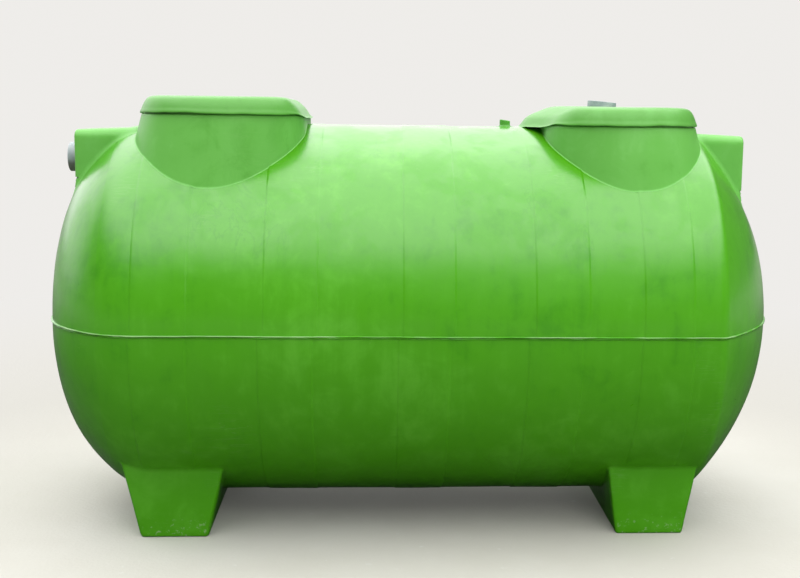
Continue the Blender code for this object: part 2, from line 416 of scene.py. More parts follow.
def form_normals(path: Array, rows: Array, at_poles: Array) -> Array:
    """Outward directions of a path's surface at fractional rows, given the one at its poles."""
    down = along_path(path, np.minimum(rows + 0.4, path.shape[0] - 1.0))
    down = down - along_path(path, np.maximum(rows - 0.4, 0.0))
    ring = path[:, :-1]
    round_way = np.roll(ring, -1, 1) - np.roll(ring, 1, 1)
    round_way = np.concatenate([round_way, round_way[:, :1]], 1)
    across = along_path(round_way, rows)
    normals = unit(np.cross(across, down))
    places = along_path(path, rows)
    middle = path.mean(axis=(0, 1))
    facing = np.sum(normals * (places - middle))
    turned = normals if facing >= 0.0 else -normals
    return np.where(np.linalg.norm(turned, axis=-1, keepdims=True) < 0.5, at_poles, turned)


# Meshes


def sheet(name: str, points: Array, closed: bool = True) -> bpy.types.Object:
    """Lays a grid over an array of points and lifts it to the floor's frame.

    Args:
        name: The piece's name.
        points: Places above the axis, [rows, columns, 3]. A row or column that repeats the
            first one closes the sheet on itself, and one that is a single place is a pole.
        closed: Whether openings left at its edges are filled and its faces turned outwards.

    Returns:
        The new object, at the origin.
    """
    rows, columns = points.shape[:2]
    bm = bmesh.new()
    bmesh.ops.create_grid(bm, x_segments=columns - 1, y_segments=rows - 1, size=1.0)
    bm.verts.ensure_lookup_table()
    for vert, place in zip(bm.verts, points.reshape(-1, 3)):
        vert.co = (place[0], place[1], place[2] + AXIS_HEIGHT)
    bmesh.ops.remove_doubles(bm, verts=bm.verts, dist=0.00002)
    bmesh.ops.dissolve_degenerate(bm, dist=0.00001, edges=bm.edges)
    if closed:
        bmesh.ops.holes_fill(bm, edges=bm.edges)
        bmesh.ops.recalc_face_normals(bm, faces=bm.faces)
    else:
        face_away(bm, Vector((0.0, 0.0, AXIS_HEIGHT)))
    return finished(name, bm)


def face_away(bm: bmesh.types.BMesh, inside: Vector) -> None:
    """Turns an open sheet's faces so that they look away from a place behind it."""
    bm.normal_update()
    facing = sum((face.calc_center_median() - inside).dot(face.normal) for face in bm.faces)
    if facing < 0.0:
        bmesh.ops.reverse_faces(bm, faces=bm.faces)


def finished(name: str, bm: bmesh.types.BMesh) -> bpy.types.Object:
    """Makes the object of a bmesh, smooth shaded, and frees the bmesh."""
    mesh = bpy.data.meshes.new(name)
    bm.to_mesh(mesh)
    bm.free()
    mesh.shade_smooth()
    made = bpy.data.objects.new(name, mesh)
    bpy.context.scene.collection.objects.link(made)
    return made


def thicken(piece: bpy.types.Object, wall: float) -> bpy.types.Object:
    """Gives an open sheet its wall, inwards from its outer face."""
    wall_step = piece.modifiers.new("Wall", "SOLIDIFY")
    wall_step.thickness = wall
    wall_step.offset = -1.0
    wall_step.use_rim = True
    return piece


def settle_modifiers(piece: bpy.types.Object) -> bpy.types.Object:
    """Applies a piece's modifiers to its mesh."""
    evaluated = piece.evaluated_get(bpy.context.evaluated_depsgraph_get())
    mesh = bpy.data.meshes.new_from_object(evaluated)
    piece.modifiers.clear()
    old = piece.data
    piece.data = mesh
    bpy.data.meshes.remove(old)
    return piece


def cut_away(piece: bpy.types.Object, *cutters: bpy.types.Object) -> bpy.types.Object:
    """Cuts closed shapes out of a piece and keeps the result as its mesh."""
    for cutter in cutters:
        cut = piece.modifiers.new("Cut", "BOOLEAN")
        cut.operation = "DIFFERENCE"
        cut.solver = "EXACT"
        cut.object = cutter
    settle_modifiers(piece)
    sharpen(piece, 35.0)
    return piece


def sharpen(piece: bpy.types.Object, degrees: float) -> None:
    """Keeps smooth shading off edges that turn by more than this."""
    piece.data.shade_smooth()
    piece.data.set_sharp_from_angle(angle=math.radians(degrees))


def discard(*objects: bpy.types.Object) -> None:
    """Removes helper objects once their cut is made."""
    for helper in objects:
        mesh = helper.data
        bpy.data.objects.remove(helper)
        bpy.data.meshes.remove(mesh)


def turned_tube(name: str, start: Vector, end: Vector, profile: list[Pair]) -> bpy.types.Object:
    """Turns a closed (radius, way along) profile about the line from start to end.

    Args:
        name: The piece's name.
        start: One end of the line, above the axis.
        end: The other end.
        profile: Points of the closed section, with the way along in metres from the start.

    Returns:
        The new object, a closed ring.
    """
    along = (end - start).normalized()
    turn = along.to_track_quat("Z", "Y").to_matrix()
    bm = bmesh.new()
    ring = [bm.verts.new((radius, 0.0, height)) for radius, height in profile]
    edges = [bm.edges.new((ring[i], ring[(i + 1) % len(ring)])) for i in range(len(ring))]
    bmesh.ops.spin(
        bm,
        geom=[*ring, *edges],
        cent=(0.0, 0.0, 0.0),
        axis=(0.0, 0.0, 1.0),
        angle=2.0 * math.pi,
        steps=72,
        use_merge=True,
    )
    bmesh.ops.remove_doubles(bm, verts=bm.verts, dist=0.00001)
    place = Matrix.Translation(start + Vector((0.0, 0.0, AXIS_HEIGHT))) @ turn.to_4x4()
    bmesh.ops.transform(bm, matrix=place, verts=bm.verts)
    bmesh.ops.recalc_face_normals(bm, faces=bm.faces)
    return finished(name, bm)


# Finishes


class Wire:
    """A shader value that takes part in Python arithmetic."""

    def __init__(self, tree: bpy.types.NodeTree, socket: bpy.types.NodeSocket) -> None:
        """Wraps an output socket of a node tree."""
        self.tree = tree
        self.socket = socket

    def maths(self, operation: str, first: object, second: object = None) -> "Wire":
        """Adds a Math node that works on wires or plain numbers."""
        node = self.tree.nodes.new("ShaderNodeMath")
        node.operation = operation
        for slot, value in enumerate((first, second)):
            if isinstance(value, Wire):
                self.tree.links.new(value.socket, node.inputs[slot])
            elif value is not None:
                node.inputs[slot].default_value = value
        return Wire(self.tree, node.outputs[0])

    def __add__(self, other: object) -> "Wire":
        """Sum."""
        return self.maths("ADD", self, other)

    def __radd__(self, other: object) -> "Wire":
        """Sum with a number first."""
        return self.maths("ADD", other, self)

    def __sub__(self, other: object) -> "Wire":
        """Difference."""
        return self.maths("SUBTRACT", self, other)

    def __rsub__(self, other: object) -> "Wire":
        """Difference from a number."""
        return self.maths("SUBTRACT", other, self)

    def __mul__(self, other: object) -> "Wire":
        """Product."""
        return self.maths("MULTIPLY", self, other)

    def __rmul__(self, other: object) -> "Wire":
        """Product with a number first."""
        return self.maths("MULTIPLY", other, self)

    def __truediv__(self, other: object) -> "Wire":
        """Quotient."""
        return self.maths("DIVIDE", self, other)

    def __rtruediv__(self, other: object) -> "Wire":
        """Quotient of a number."""
        return self.maths("DIVIDE", other, self)

    def __pow__(self, other: object) -> "Wire":
        """Power."""
        return self.maths("POWER", self, other)

    def most(self, other: object) -> "Wire":
        """The greater of two values."""
        return self.maths("MAXIMUM", self, other)

    def between(self, low: float, high: float) -> "Wire":
        """A smooth mask that rises from 0 at low to 1 at high."""
        node = self.tree.nodes.new("ShaderNodeMapRange")
        node.interpolation_type = "SMOOTHSTEP"
        self.tree.links.new(self.socket, node.inputs["Value"])
        node.inputs["From Min"].default_value = low
        node.inputs["From Max"].default_value = high
        return Wire(self.tree, node.outputs["Result"])


class Bench:
    """Puts one material together, node by node."""

    def __init__(self, name: str) -> None:
        """Starts a material with its shader and the object's coordinates."""
        self.material = bpy.data.materials.new(name)
        self.material.use_nodes = True
        self.tree = self.material.node_tree
        self.shader = self.tree.nodes["Principled BSDF"]
        self.place = self.node("ShaderNodeTexCoord").outputs["Object"]

    def node(self, kind: str, settings: dict | None = None, inputs: dict | None = None) -> bpy.types.Node:
        """Adds a node.

        Args:
            kind: The node's type.
            settings: Its properties, which are set first.
            inputs: Values or links of its sockets, by socket name or number.

        Returns:
            The node.
        """
        made = self.tree.nodes.new(kind)
        for key, value in (settings or {}).items():
            setattr(made, key, value)
        for key, value in (inputs or {}).items():
            if isinstance(value, Wire):
                value = value.socket
            if isinstance(value, bpy.types.NodeSocket):
                self.tree.links.new(value, made.inputs[key])
            else:
                made.inputs[key].default_value = value
        return made

    def stretched(self, stretch: tuple[float, float, float], turn: float = 0.0) -> bpy.types.NodeSocket:
        """Object coordinates scaled along each axis and turned about X."""
        return self.node(
            "ShaderNodeMapping",
            inputs={"Vector": self.place, "Scale": stretch, "Rotation": (turn, 0.0, 0.0)},
        ).outputs["Vector"]

    def noise(self, scale: float, detail: float = 3.0, stretch: tuple[float, float, float] = (1, 1, 1),
              distortion: float = 0.0, shift: float = 0.0, rough: float = 0.5) -> Wire:
        """Fractal noise from 0 to 1 over the object's coordinates."""
        made = self.node(
            "ShaderNodeTexNoise",
            {"noise_dimensions": "4D"},
            {
                "Vector": self.stretched(stretch),
                "W": shift,
                "Scale": scale,
                "Detail": detail,
                "Roughness": rough,
                "Distortion": distortion,
            },
        )
        return Wire(self.tree, made.outputs["Fac"])

    def height(self) -> Wire:
        """Height above the floor."""
        return Wire(self.tree, self.node("ShaderNodeSeparateXYZ", inputs={0: self.place}).outputs["Z"])

    def along(self) -> Wire:
        """Place along the tank."""
        return Wire(self.tree, self.node("ShaderNodeSeparateXYZ", inputs={0: self.place}).outputs["X"])

    def mix(self, factor: Wire, first: object, second: object) -> Wire:
        """Mixes two colours, plain or linked."""
        made = self.node("ShaderNodeMix", {"data_type": "RGBA"}, {0: factor})
        for slot, value in ((6, first), (7, second)):
            if isinstance(value, Wire):
                self.tree.links.new(value.socket, made.inputs[slot])
            else:
                made.inputs[slot].default_value = (*value, 1.0)
        return Wire(self.tree, made.outputs[2])

    def bump(self, height: Wire, distance: float, strength: float = 1.0) -> None:
        """Feeds a height through a Bump node into the shader's normal."""
        made = self.node("ShaderNodeBump", inputs={"Height": height, "Distance": distance, "Strength": strength})
        self.tree.links.new(made.outputs["Normal"], self.shader.inputs["Normal"])

    def feed(self, socket: str, value: Wire) -> None:
        """Links a value to a socket of the shader."""
        self.tree.links.new(value.socket, self.shader.inputs[socket])

    def fix(self, **values: object) -> None:
        """Sets plain values on the shader's sockets, with underscores for spaces."""
        for key, value in values.items():
            self.shader.inputs[key.replace("_", " ")].default_value = value


@dataclass(frozen=True)
class Gelcoat:
    """Green gelcoat over hand-laid fibreglass, mottled, streaked and scuffed."""

    name: str
    deep: Colour = (0.043, 0.265, 0.001)
    plain: Colour = (0.063, 0.325, 0.002)
    pale: Colour = (0.090, 0.390, 0.014)
    chalk: Colour = (0.300, 0.480, 0.220)
    mottling: float = 1.0
    streaks: float = 1.0
    scuffs: float = 1.0
    edge_wear: float = 0.0
    chips_below: float = 0.0
    gloss: float = 0.32
    coat: float = 0.70

    def make(self) -> bpy.types.Material:
        """Builds the material."""
        bench = Bench(self.name)
        clouds = bench.noise(1.7, 3.0, distortion=0.6, shift=1.0)
        patches = bench.noise(7.5, 4.0, distortion=0.9, shift=3.0, rough=0.6)
        runs = bench.noise(1.0, 4.0, stretch=(26.0, 26.0, 2.2), shift=5.0, rough=0.6)
        grain = bench.noise(95.0, 2.0, shift=2.0)
        tone = (clouds - 0.5) * 0.9 + (patches - 0.5) * 0.8 * self.mottling
        tone = tone + (runs - 0.5) * 0.55 * self.streaks + (grain - 0.5) * 0.10
        lighter = (tone * 1.0).between(0.0, 0.38)
        darker = (tone * -1.0).between(0.0, 0.34)
        colour = bench.mix(lighter, self.plain, self.pale)
        colour = bench.mix(darker, colour, self.deep)
        rubs = bench.noise(5.0, 5.0, stretch=(1.0, 1.0, 1.6), distortion=1.6, shift=9.0, rough=0.72)
        fine = bench.noise(42.0, 3.0, stretch=(1.0, 1.0, 0.5), shift=11.0, rough=0.7)
        scuffed = rubs.between(0.62, 0.76) * fine.between(0.52, 0.70) * (0.35 * self.scuffs)
        hairs = bench.noise(3.0, 2.0, stretch=(1.0, 1.0, 16.0), distortion=2.2, shift=14.0)
        hair = (1.0 - ((hairs - 0.5) * 60.0) * ((hairs - 0.5) * 60.0)).between(0.0, 1.0)
        places = bench.noise(2.6, 2.0, shift=17.0).between(0.60, 0.70)
        worn = scuffed.most(hair * places * (0.12 * self.scuffs))
        if self.chips_below > 0.0:
            low = 1.0 - bench.height().between(0.0, self.chips_below)
            flakes = bench.noise(58.0, 4.0, shift=21.0, rough=0.65).between(0.56, 0.66)
            worn = worn.most(low * flakes * 0.8)
        if self.edge_wear > 0.0:
            rubbed = bench.noise(16.0, 4.0, stretch=(0.4, 1.0, 1.0), shift=23.0).between(0.40, 0.62)
            worn = worn.most(rubbed * self.edge_wear)
        marks = bench.noise(8.0, 4.0, stretch=(1.5, 1.0, 0.45), distortion=1.4, shift=41.0, rough=0.6)
        vein = (1.0 - ((marks - 0.5) * 44.0) * ((marks - 0.5) * 44.0)).between(0.0, 1.0)
        vein = vein * bench.noise(2.9, 2.0, shift=43.0).between(0.54, 0.64) * (0.50 * self.streaks)
        vein = vein * bench.height().between(0.95, 1.10)
        colour = bench.mix(vein, colour, self.deep)
        bench.feed("Base Color", bench.mix(worn, colour, self.chalk))
        bench.feed("Roughness", (patches - 0.5) * 0.16 + worn * 0.35 + (grain - 0.5) * 0.08 + self.gloss)
        wet = bench.noise(5.6, 8.0, stretch=(1.0, 1.0, 0.8), distortion=0.5, shift=45.0, rough=0.70)
        dulled = wet.between(0.49, 0.57) * (0.34 * self.mottling)
        bench.feed("Coat Weight", (1.0 - dulled) * self.coat)
        slow = bench.noise(3.4, 2.0, shift=31.0)
        ripples = bench.noise(13.0, 2.0, shift=33.0)
        peel = bench.noise(210.0, 1.5, shift=35.0)
        weave = bench.noise(34.0, 3.0, stretch=(1.0, 1.0, 1.0), shift=37.0)
        relief = slow * 0.95 + ripples * 0.24 + weave * 0.035 + peel * 0.008
        bench.bump(relief, 0.006)
        bench.fix(Coat_Roughness=0.20, Specular_IOR_Level=0.4)
        return bench.material


@dataclass(frozen=True)
class DrainPipe:
    """Satin grey pipe, dusty in patches, with painted shade on its lower half where that is asked for."""

    name: str
    plain: Colour = (0.300, 0.350, 0.380)
    dust: Colour = (0.440, 0.480, 0.490)
    # Painted shade: the dark colour of a pipe's lower half, the height that it starts below, and the depth of its
    # blend.
    stain: Colour = (0.120, 0.115, 0.100)
    stained_below: float = 0.0
    stain_depth: float = 0.03

    def make(self) -> bpy.types.Material:
        """Builds the material."""
        bench = Bench(self.name)
        clouds = bench.noise(14.0, 4.0, shift=2.0, rough=0.6)
        lines = bench.noise(1.0, 3.0, stretch=(6.0, 160.0, 160.0), shift=4.0)
        colour = bench.mix(clouds.between(0.42, 0.66), self.plain, self.dust)
        # Painted shade: below the given height the pipe is painted darker, as the underside of a pipe lit from
        # above.
        if self.stained_below > 0.0:
            low = 1.0 - (bench.height() + (clouds - 0.5) * 0.02).between(
                self.stained_below - self.stain_depth, self.stained_below
            )
            colour = bench.mix(low * 0.85, colour, self.stain)
        bench.feed("Base Color", colour)
        bench.feed("Roughness", (clouds - 0.5) * 0.25 + 0.46)
        bench.bump(lines * 0.3 + clouds * 0.7, 0.0006)
        bench.fix(Specular_IOR_Level=0.4)
        return bench.material


@dataclass
class Paintshop:
    """The tank's finishes, made once and shared by its pieces."""

    shell: bpy.types.Material = field(init=False)
    riser: bpy.types.Material = field(init=False)
    cover: bpy.types.Material = field(init=False)
    foot: bpy.types.Material = field(init=False)
    lip: bpy.types.Material = field(init=False)
    inlet: bpy.types.Material = field(init=False)
    pipe: bpy.types.Material = field(init=False)

    def __post_init__(self) -> None:
        """Builds every material."""
        self.shell = Gelcoat("shell_gelcoat").make()
        # Painted sheen: the riser's paint is paler and bluer than the shell's, standing in for the pale sheen on the
        # riser faces, along with its real duller finish. The covers take only its gloss and coat.
        dull_and_painted_sheen = {
            "deep": (0.095, 0.360, 0.042),
            "plain": (0.130, 0.435, 0.068),
            "pale": (0.165, 0.490, 0.100),
            "gloss": 0.44,
            "coat": 0.15,
        }
        flat = {**dull_and_painted_sheen, "deep": (0.068, 0.270, 0.025), "plain": (0.090, 0.330, 0.040), "pale": (0.120, 0.390, 0.068)}
        self.riser = Gelcoat("riser_gelcoat_painted_sheen", streaks=0.6, mottling=1.1, scuffs=0.6, **dull_and_painted_sheen).make()
        self.cover = Gelcoat("cover_gelcoat", streaks=0.5, mottling=1.1, scuffs=0.8, **flat).make()
        self.foot = Gelcoat("foot_gelcoat", streaks=0.4, scuffs=1.2, chips_below=0.10).make()
        self.lip = Gelcoat("lip_gelcoat", scuffs=1.4, edge_wear=0.62).make()
        # The inlet pipe is painted darker below its axis: painted shade on its underside.
        self.inlet = DrainPipe("inlet_pipe_grey", stained_below=AXIS_HEIGHT + 0.565).make()
        self.pipe = DrainPipe("pipe_grey").make()


def dress(piece: bpy.types.Object, finish: bpy.types.Material, slot: str, *nodes: str) -> None:
    """Gives a piece its finish and its place in the frame.

    Args:
        piece: The piece.
        finish: Its material.
        slot: The name of a material slot; it is not used.
        nodes: The CAD nodes that it stands for.
    """
    piece.data.materials.clear()
    piece.data.materials.append(finish)
    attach(piece, "root")
    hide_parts(*nodes)
    log.info("%s: %d faces", piece.name, len(piece.data.polygons))


# Sub-assemblies


@dataclass
class Shells:
    """The barrel's two half shells and the four half domes."""

    skin: TankSkin
    paint: Paintshop
    wall: float = 0.009
    left_edge: float = 1.072
    right_edge: float = 1.076
    turn_steps: int = 96
    barrel_step: float = 0.019
    crease_step: float = 0.006

    def edge(self, side: Side) -> float:
        """How far out along X the barrel's sheet ends, past its crease."""
        return self.left_edge if side is Side.LEFT else self.right_edge

    def edge_share(self, side: Side) -> float:
        """The radius at that edge as a share of the barrel's."""
        start, depth, fullness = self.skin.dome(side)
        return (1.0 - (self.edge(side) - start) / depth) ** (1.0 / fullness)

    def stations(self) -> Array:
        """Places along X of the barrel's rings, closer at its creases."""
        soft, sharp = -0.96, 1.03
        left = np.arange(-self.left_edge, soft, self.crease_step)
        right = np.arange(self.right_edge, sharp, -self.crease_step)[::-1]
        middle = np.linspace(left[-1], right[0], int((right[0] - left[-1]) / self.barrel_step))
        return np.concatenate([left[:-1], middle, right[1:]])

    def turns(self, half: Half) -> Array:
        """Angles of a half shell, up or down from the front to the back."""
        return np.linspace(0.0, math.pi, self.turn_steps + 1) * half.value

    def barrel_sheet(self, half: Half) -> Array:
        """Outer face of a half barrel, [turns, stations, 3]."""
        turn, x = np.meshgrid(self.turns(half), self.stations(), indexing="ij")
        out = np.stack([np.zeros_like(x), -np.cos(turn), np.sin(turn)], -1)
        points = out * self.skin.radius
        points[..., 0] = x
        return self.skin.settle(points, out, banded=False)

    def dome_shares(self, side: Side) -> Array:
        """Radii of a dome's rings, from its edge to its pole."""
        return np.linspace(self.edge_share(side), 0.0, 54)

    def dome_sheet(self, side: Side, half: Half) -> Array:
        """Outer face of a half dome, [rings, turns, 3]."""
        points, ways = self.skin.dome_points(side, self.dome_shares(side), self.turns(half))
        return self.skin.settle(points, ways, banded=False)

    def build(self, shafts: list[bpy.types.Object], bores: dict[Side, bpy.types.Object]) -> None:
        """Makes the six shells, with the manholes and pipe holes cut through them."""
        for half in Half:
            barrel = thicken(sheet(half.word + "_barrel_skin", self.barrel_sheet(half), False), self.wall)
            settle_modifiers(barrel)
            if half is Half.UPPER:
                cut_away(barrel, *shafts)
            sharpen(barrel, 60.0)
            dress(barrel, self.paint.shell, GREEN_SLOT, half.word + "_barrel")
            for side in Side:
                name = f"{side.word}_end_{half.word}"
                dome = thicken(sheet(name + "_skin", self.dome_sheet(side, half), False), self.wall)
                settle_modifiers(dome)
                if half is Half.UPPER:
                    cut_away(dome, bores[side])
                sharpen(dome, 60.0)
                dress(dome, self.paint.shell, GREEN_SLOT, name)


@dataclass
class Bands:
    """Raised bands pressed round each half shell."""

    skin: TankSkin
    paint: Paintshop
    sink: float = 0.0009
    depth: float = 0.004
    seam_gap: float = 0.0035
    turn_steps: int = 96
    parting: dict[int, str] = field(default_factory=lambda: {1: "left", 5: "right"})

    def section(self, first: float, last: float) -> Array:
        """Places along X across a band, closer on its slopes."""
        slope = self.skin.band_slope
        rise = np.linspace(first, first + slope, 8)
        fall = np.linspace(last - slope, last, 8)
        return np.concatenate([rise, np.linspace(rise[-1], fall[0], 8)[1:-1], fall])

    def strip(self, band: Pair, turns: Array) -> Array:
        """A band's closed section drawn round, [turns, section, 3]."""
        across = self.section(*band)
        turn, x = np.meshgrid(turns, across, indexing="ij")
        out = np.stack([np.zeros_like(x), -np.cos(turn), np.sin(turn)], -1)
        points = out * self.skin.radius
        points[..., 0] = x
        outer = self.skin.settle(points, out)
        sunk = np.zeros(len(across))
        sunk[[0, -1]] = self.sink
        outer = outer - out * sunk[None, :, None]
        under = self.skin.settle(points, out, banded=False) - out * self.depth
        return np.concatenate([outer, under[:, [-1, 0]], outer[:, :1]], 1)

    def build(self, shafts: list[bpy.types.Object]) -> None:
        """Makes every band. A riser parts the bands that it stands on."""
        start = self.seam_gap / self.skin.radius
        for half in Half:
            for number, band in enumerate(self.skin.bands(half), start=1):
                node = f"{half.word}_band_{number}"
                spans = {"": (start, math.pi - start)}
                if half is Half.UPPER and number in self.parting:
                    spans = {
                        "_front": (start, math.pi / 2.0),
                        "_back": (math.pi / 2.0, math.pi - start),
                    }
                for word, (low, high) in spans.items():
                    steps = self.turn_steps if not word else self.turn_steps // 2
                    turns = np.linspace(low, high, steps + 1) * half.value
                    piece = sheet(node + word + "_skin", self.strip(band, turns))
                    if half is Half.UPPER and number != 3:
                        cut_away(piece, *shafts)
                    sharpen(piece, 60.0)
                    dress(piece, self.paint.shell, GREEN_SLOT, node + word)


@dataclass
class SeamLips:
    """The two trimmed lips where the half shells are bonded together."""

    skin: TankSkin
    shells: Shells
    paint: Paintshop
    reach: float = 0.0055
    thickness: float = 0.0040
    root: float = 0.006
    gap: float = 0.0007
    recess: float = 0.0022

    def outline(self, height: float) -> tuple[Array, Array]:
        """The tank's plan at a height, with its outward directions, both [places, 3]."""
        stations = self.shells.stations()
        parts, ways = [], []
        for side in (Side.RIGHT, Side.LEFT):
            x = stations if side is Side.RIGHT else stations[::-1]
            front = -float(side.value)
            run = np.stack([x, np.full_like(x, front * self.skin.radius), np.full_like(x, height)], -1)
            parts.append(run)
            ways.append(np.broadcast_to(np.array([0.0, front, 0.0]), run.shape))
            shares = np.linspace(self.shells.edge_share(side), 0.0, 60)
            turns = np.array([0.0, math.pi])
            points, out = self.skin.dome_points(side, shares, turns)
            points[..., 2], out[..., 2] = height, 0.0
            first, second = (0, 1) if side is Side.RIGHT else (1, 0)
            parts += [points[1:, first], points[1:-1, second][::-1]]
            ways += [out[1:, first], out[1:-1, second][::-1]]
        places = np.concatenate(parts)
        directions = unit(np.concatenate(ways))
        settled = self.skin.settle(places, directions)
        away = self.skin.normals(settled)
        away[:, 2] = 0.0
        return settled, unit(away)

    def lip(self, half: Half) -> Array:
        """A lip's closed section drawn round the tank, [places, section, 3]."""
        sign = half.value
        places, away = self.outline(sign * (self.gap + self.thickness / 2.0))
        count = len(places)
        around = np.linspace(0.0, 2.0 * math.pi, count, endpoint=False)
        uneven = 0.5 * np.sin(23.0 * around + sign) + 0.3 * np.sin(61.0 * around) + 0.2 * np.sin(137.0 * around)
        reach = self.reach - (0.0 if half is Half.UPPER else self.recess) + 0.0011 * uneven
        droop = 0.0005 * np.sin(17.0 * around + 1.0) + 0.0003 * np.sin(71.0 * around)
        low, high = self.gap, self.gap + self.thickness
        section = (
            (-self.root, low, 0.0),
            (0.0, low, 0.6),
            (0.0, low + 0.0010, 1.0),
            (0.0, (low + high) / 2.0 + 0.0004, 1.02),
            (0.0, high - 0.0012, 0.86),
            (0.0, high, 0.45),
            (-self.root, high + 0.0010, 0.0),
        )
        rings = []
        for inset, height, share in section:
            out = (inset + reach * share)[:, None]
            ring = places + away * out
            ring[:, 2] = sign * height + droop * share
            rings.append(ring)
        ring_points = np.stack(rings + rings[:1], 1)
        return np.concatenate([ring_points, ring_points[:1]], 0)

    def build(self) -> None:
        """Makes both lips."""
        for half in Half:
            piece = sheet(half.word + "_flange_lip", self.lip(half))
            sharpen(piece, 50.0)
            finish = self.paint.lip if half is Half.UPPER else self.paint.shell
            dress(piece, finish, GREEN_SLOT, half.word + "_flange")


def closed_root(rows: Array, skin: TankSkin, inner: tuple[float, float, float]) -> Array:
    """Closes a capped form inside the shell, past its skirt.

    Args:
        rows: The form's rows, which end on the skin.
        skin: The skin.
        inner: A place well inside, where the closing rows meet.

    Returns:
        The rows with their closing ones.
    """
    skirt = rows[-1]
    sunk = skirt - skin.normals(skirt) * 0.006
    point = np.broadcast_to(np.array(inner), skirt.shape)
    return np.concatenate([rows, sunk[None], (sunk * 0.5 + point * 0.5)[None], point[None]])


@dataclass
class Riser:
    """An oblong manhole riser that runs into the barrel in a drawn fillet.

    It widens downwards, and more towards the tank's end than towards the middle.
    """

    side: Side
    centre: float
    skin: TankSkin
    paint: Paintshop
    top: float
    half_width: float
    half_length: float = 0.474
    draft: float = 0.13
    lean: float = 0.13
    wall: float = 0.009
    inner_foot: float = 0.540
    fillet: float = 0.0025

    @property
    def outline(self) -> Outline:
        """Plan of the riser at its top."""
        return Outline(self.half_width, self.half_length, self.half_width - 0.010, corner_steps=26, side_steps=12)

    def stations(self) -> list[Station]:
        """The riser's path: up the inside, over the rim and down the outside."""
        stops = []
        for height in np.linspace(self.inner_foot, self.top - self.wall, 5):
            stops.append(self.stop(self.draft * (self.top - height) - self.wall, height))
        for angle in np.linspace(0.0, math.pi, 7)[1:-1]:
            half = self.wall / 2.0
            stops.append(self.stop(-half - half * math.cos(angle), self.top - half + half * math.sin(angle)))
        for height in np.linspace(self.top - self.wall / 2.0, 0.330, 100):
            stops.append(self.stop(self.draft * (self.top - height), height))
        return stops

    def stop(self, offset: float, height: float) -> Station:
        """A station of the riser's leaning wall."""
        return Station(1.0, offset, height, shift=self.side.value * self.lean * (self.top - height))

    def shaft(self) -> bpy.types.Object:
        """The shape of the open way down through the riser, as a cutter."""
        form = Moulding(self.outline, Heading.UP, (self.centre, 0.0, 0.0), self.fillet)
        low, high = 0.30, 0.90
        wall = [self.stop(self.draft * (self.top - height) - 0.6 * self.wall, height) for height in (low, high)]
        middle = [Station(0.0, 0.0, stop.height, shift=stop.shift) for stop in wall]
        return sheet(self.side.word + "_shaft", form.path([middle[0], *wall, middle[1]]))

    def build(self) -> None:
        """Makes the riser."""
        form = Moulding(
            self.outline,
            Heading.UP,
            (self.centre, 0.0, 0.0),
            self.fillet,
            free_rows=46,
            root_rows=32,
            ripple=0.0012,
        )
        rows = form.grow(self.skin, self.stations())
        sunk = rows[-1] - self.skin.normals(rows[-1]) * 0.003
        rows = np.concatenate([rows, sunk[None], rows[:1]])
        piece = sheet(self.side.word + "_riser_wall", rows)
        sharpen(piece, 60.0)
        piece.visible_glossy = False
        # The riser's paint carries painted sheen in its paler colour.
        dress(piece, self.paint.riser, GREEN_SLOT, self.side.word + "_riser")


